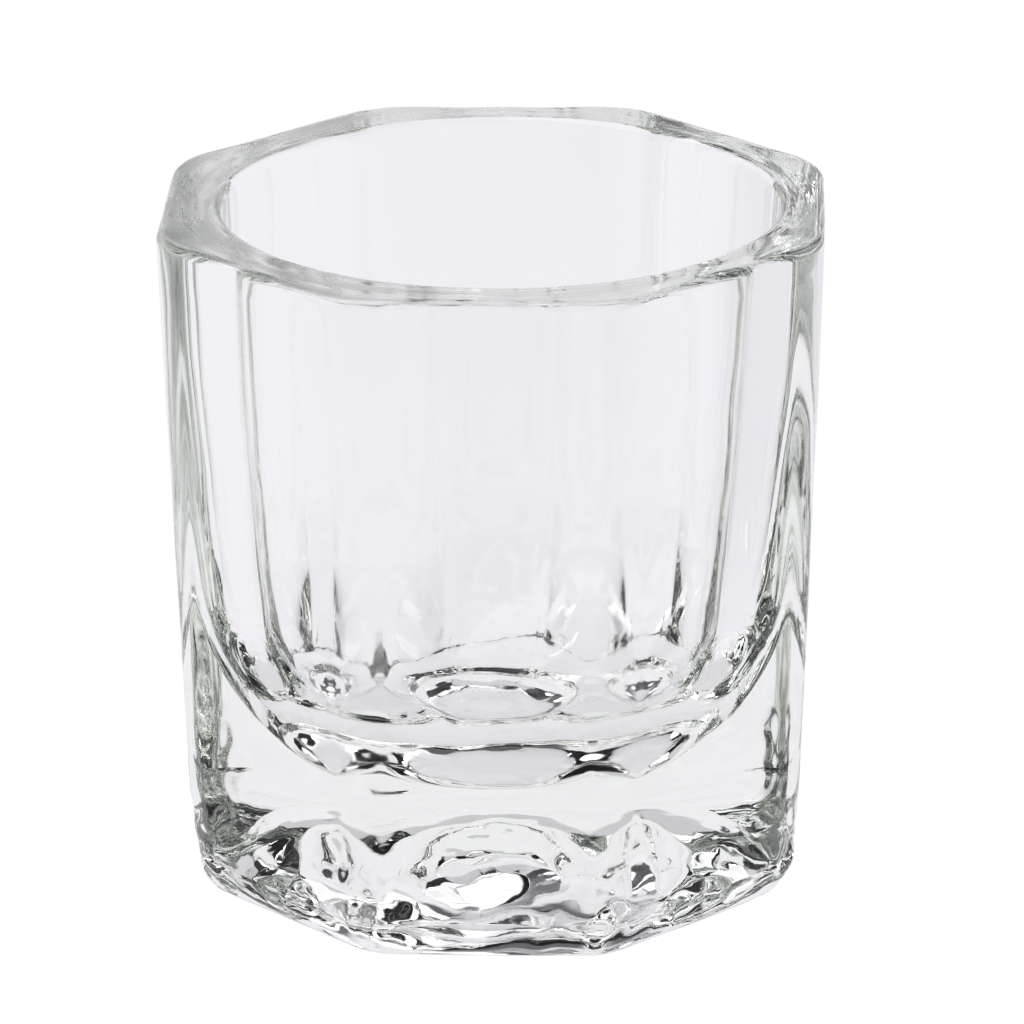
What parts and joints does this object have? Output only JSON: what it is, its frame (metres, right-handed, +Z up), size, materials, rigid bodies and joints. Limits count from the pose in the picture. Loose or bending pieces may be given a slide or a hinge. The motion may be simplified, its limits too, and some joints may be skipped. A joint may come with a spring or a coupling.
{
  "type": "dappen dish",
  "caption": "Octagonal clear-glass dappen dish with a round well, a bowl-shaped floor and a domed underside, for acrylic nail liquid or powder.",
  "frame": {"origin": "on the dish's axis, in the plane that its foot stands on", "axes": "+Z up along the dish's axis towards the mouth; one of the outer facets faces -Y"},
  "size_m": [0.0282, 0.0282, 0.03],
  "materials": {
    "clear_glass": "polished, slightly wavy pressed glass"
  },
  "bodies": {
    "root": {"glass_dish": "clear_glass"}
  },
  "joints": []
}
